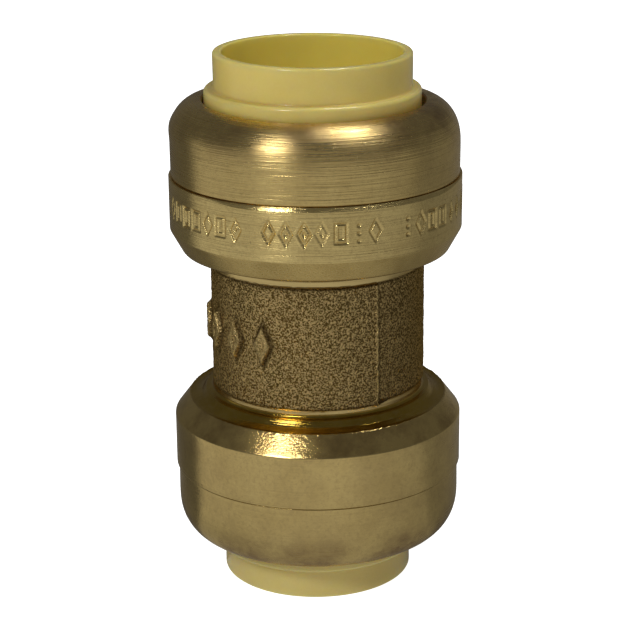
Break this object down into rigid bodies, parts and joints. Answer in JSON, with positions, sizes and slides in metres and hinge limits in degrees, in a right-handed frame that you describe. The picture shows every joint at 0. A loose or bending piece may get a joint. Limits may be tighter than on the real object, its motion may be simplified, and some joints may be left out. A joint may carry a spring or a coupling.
{
  "type": "push fit coupling",
  "caption": "Straight brass push fit coupling for water pipe, with a press-to-release plastic collar at each end.",
  "frame": {"origin": "centre of the coupling, on the pipe axis, midway between the two sockets", "axes": "+Z along the pipe axis towards the upper socket; -Y is the side with the raised casting marks"},
  "size_m": [0.0282, 0.028, 0.052],
  "materials": {
    "body_brass": "shot-blasted centre, turned ends",
    "turned_brass": "fine turned",
    "collar_plastic": "moulded, slightly translucent",
    "stainless_steel": "stamped",
    "white_plastic": "moulded",
    "seal_rubber": "lubricated seal",
    "liner_plastic": "moulded"
  },
  "bodies": {
    "fitting": {"coupling_body": "body_brass", "upper_retaining_cap": "turned_brass", "upper_o_ring_protector": "white_plastic", "upper_o_ring": "seal_rubber", "upper_pipe_liner": "liner_plastic", "lower_retaining_cap": "turned_brass", "lower_o_ring_protector": "white_plastic", "lower_o_ring": "seal_rubber", "lower_pipe_liner": "liner_plastic"},
    "upper_grip": {"upper_grab_ring": "stainless_steel", "upper_support_ring": "white_plastic"},
    "upper_collar": {"upper_release_collar": "collar_plastic"},
    "lower_grip": {"lower_grab_ring": "stainless_steel", "lower_support_ring": "white_plastic"},
    "lower_collar": {"lower_release_collar": "collar_plastic"}
  },
  "joints": [
    {"name": "upper_grip_spin", "type": "hinge", "parent": "fitting", "child": "upper_grip", "pos_m": [0, 0, 0.0139], "axis": [0, 0, 1], "continuous": true},
    {"name": "upper_collar_press", "type": "slide", "parent": "upper_grip", "child": "upper_collar", "axis": [0, 0, -1], "range_m": [0, 0.0022], "stiffness_N_per_m": 2000, "deforming": ["upper_grab_ring"]},
    {"name": "lower_grip_spin", "type": "hinge", "parent": "fitting", "child": "lower_grip", "pos_m": [0, 0, -0.0139], "axis": [0, 0, -1], "continuous": true},
    {"name": "lower_collar_press", "type": "slide", "parent": "lower_grip", "child": "lower_collar", "axis": [0, 0, 1], "range_m": [0, 0.0022], "stiffness_N_per_m": 2000, "deforming": ["lower_grab_ring"]}
  ]
}
